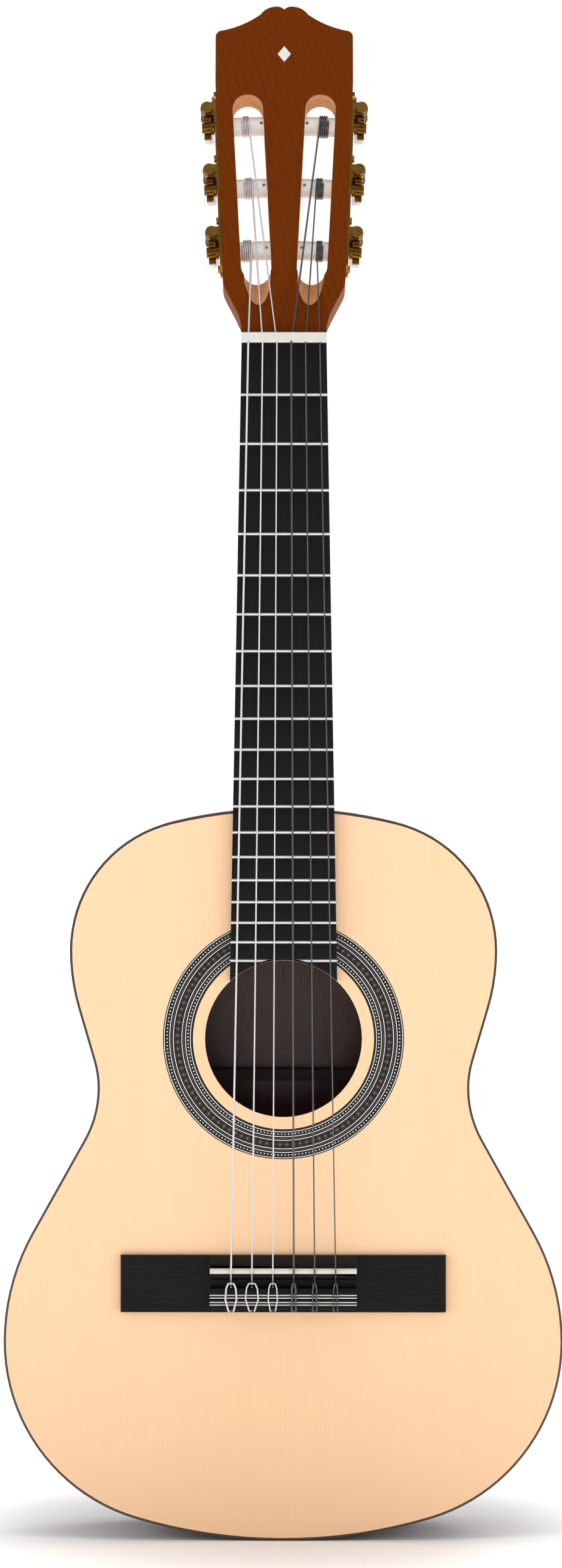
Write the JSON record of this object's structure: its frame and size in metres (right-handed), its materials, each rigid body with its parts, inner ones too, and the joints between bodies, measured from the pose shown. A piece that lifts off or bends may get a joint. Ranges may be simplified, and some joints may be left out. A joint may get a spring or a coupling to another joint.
{
  "type": "classical guitar",
  "caption": "Quarter-size classical guitar with a spruce top, a mosaic rosette, a slotted head with geared tuning machines, and nylon and silver-wound strings.",
  "frame": {"origin": "middle of the tail: the lowest point of the ribs, on the centre line and halfway through the body's depth", "axes": "+Z from the tail to the head, -Y out of the soundboard, +X towards the treble side"},
  "size_m": [0.29, 0.0932, 0.8034],
  "materials": {
    "spruce": "satin",
    "mahogany": "gloss lacquer",
    "rosewood": "satin",
    "lining_wood": "raw",
    "binding": "satin",
    "rosette": "gloss lacquer",
    "bone": "polished",
    "pearl": "pearlescent",
    "fret_wire": "polished nickel silver",
    "gold_plate": "gold plated",
    "roller_plastic": "white",
    "wound_string": "silver wound",
    "nylon": "clear"
  },
  "bodies": {
    "guitar": {"soundboard": "spruce", "rosette": "rosette", "rib_bass": "mahogany", "rib_treble": "mahogany", "back_plate": "mahogany", "top_binding": "binding", "back_binding": "binding", "top_linings": "lining_wood", "back_linings": "lining_wood", "heel_block": "lining_wood", "tail_block": "lining_wood", "harmonic_bars": "spruce", "fan_braces": "spruce", "back_braces": "lining_wood", "neck": "mahogany", "heel_cap": "mahogany", "headstock": "mahogany", "head_veneer": "mahogany", "head_inlay": "pearl", "fingerboard": "rosewood", "frets": "fret_wire", "nut": "bone", "bridge": "rosewood", "saddle": "bone", "tie_inlay": "bone", "tuner_plate_treble": "gold_plate", "tuner_plate_bass": "gold_plate", "plate_screws": "gold_plate", "string_1": "nylon", "string_2": "nylon", "string_3": "nylon", "string_4": "wound_string", "string_5": "wound_string", "string_6": "wound_string"},
    "worm_1": {"worm_1": "gold_plate", "button_1": "pearl"},
    "roller_1": {"roller_1": "roller_plastic", "gear_1": "gold_plate"},
    "worm_2": {"worm_2": "gold_plate", "button_2": "pearl"},
    "roller_2": {"roller_2": "roller_plastic", "gear_2": "gold_plate"},
    "worm_3": {"worm_3": "gold_plate", "button_3": "pearl"},
    "roller_3": {"roller_3": "roller_plastic", "gear_3": "gold_plate"},
    "worm_4": {"worm_4": "gold_plate", "button_4": "pearl"},
    "roller_4": {"roller_4": "roller_plastic", "gear_4": "gold_plate"},
    "worm_5": {"worm_5": "gold_plate", "button_5": "pearl"},
    "roller_5": {"roller_5": "roller_plastic", "gear_5": "gold_plate"},
    "worm_6": {"worm_6": "gold_plate", "button_6": "pearl"},
    "roller_6": {"roller_6": "roller_plastic", "gear_6": "gold_plate"}
  },
  "joints": [
    {"name": "button_turn_1", "type": "hinge", "parent": "guitar", "child": "worm_1", "pos_m": [0.03793, -0.01675, 0.67824], "axis": [0, -0.9659, 0.2588], "range_deg": [-2520, 1260]},
    {"name": "roller_turn_1", "type": "hinge", "parent": "guitar", "child": "roller_1", "pos_m": [0.03261, -0.01884, 0.67042], "axis": [0.9992, -0.0101, -0.0377], "range_deg": [-91, 181]},
    {"name": "button_turn_2", "type": "hinge", "parent": "guitar", "child": "worm_2", "pos_m": [0.03929, -0.00769, 0.71202], "axis": [0, -0.9659, 0.2588], "range_deg": [-2520, 1260]},
    {"name": "roller_turn_2", "type": "hinge", "parent": "guitar", "child": "roller_2", "pos_m": [0.03397, -0.00979, 0.7042], "axis": [0.9992, -0.0101, -0.0377], "range_deg": [-91, 181]},
    {"name": "button_turn_3", "type": "hinge", "parent": "guitar", "child": "worm_3", "pos_m": [0.04066, 0.00136, 0.74581], "axis": [0, -0.9659, 0.2588], "range_deg": [-2520, 1260]},
    {"name": "roller_turn_3", "type": "hinge", "parent": "guitar", "child": "roller_3", "pos_m": [0.03534, -0.00074, 0.73798], "axis": [0.9992, -0.0101, -0.0377], "range_deg": [-91, 181]},
    {"name": "button_turn_4", "type": "hinge", "parent": "guitar", "child": "worm_4", "pos_m": [-0.04066, 0.00136, 0.74581], "axis": [0, 0.9659, -0.2588], "range_deg": [-2520, 1260]},
    {"name": "roller_turn_4", "type": "hinge", "parent": "guitar", "child": "roller_4", "pos_m": [-0.03534, -0.00074, 0.73798], "axis": [0.9992, 0.0101, 0.0377], "range_deg": [-91, 181]},
    {"name": "button_turn_5", "type": "hinge", "parent": "guitar", "child": "worm_5", "pos_m": [-0.03929, -0.00769, 0.71202], "axis": [0, 0.9659, -0.2588], "range_deg": [-2520, 1260]},
    {"name": "roller_turn_5", "type": "hinge", "parent": "guitar", "child": "roller_5", "pos_m": [-0.03397, -0.00979, 0.7042], "axis": [0.9992, 0.0101, 0.0377], "range_deg": [-91, 181]},
    {"name": "button_turn_6", "type": "hinge", "parent": "guitar", "child": "worm_6", "pos_m": [-0.03793, -0.01675, 0.67824], "axis": [0, 0.9659, -0.2588], "range_deg": [-2520, 1260]},
    {"name": "roller_turn_6", "type": "hinge", "parent": "guitar", "child": "roller_6", "pos_m": [-0.03261, -0.01884, 0.67042], "axis": [0.9992, 0.0101, 0.0377], "range_deg": [-91, 181]}
  ],
  "couplings": [
    {"joint": "roller_turn_1", "follows": "button_turn_1", "ratio": -0.071429},
    {"joint": "roller_turn_2", "follows": "button_turn_2", "ratio": -0.071429},
    {"joint": "roller_turn_3", "follows": "button_turn_3", "ratio": -0.071429},
    {"joint": "roller_turn_4", "follows": "button_turn_4", "ratio": -0.071429},
    {"joint": "roller_turn_5", "follows": "button_turn_5", "ratio": -0.071429},
    {"joint": "roller_turn_6", "follows": "button_turn_6", "ratio": -0.071429}
  ]
}
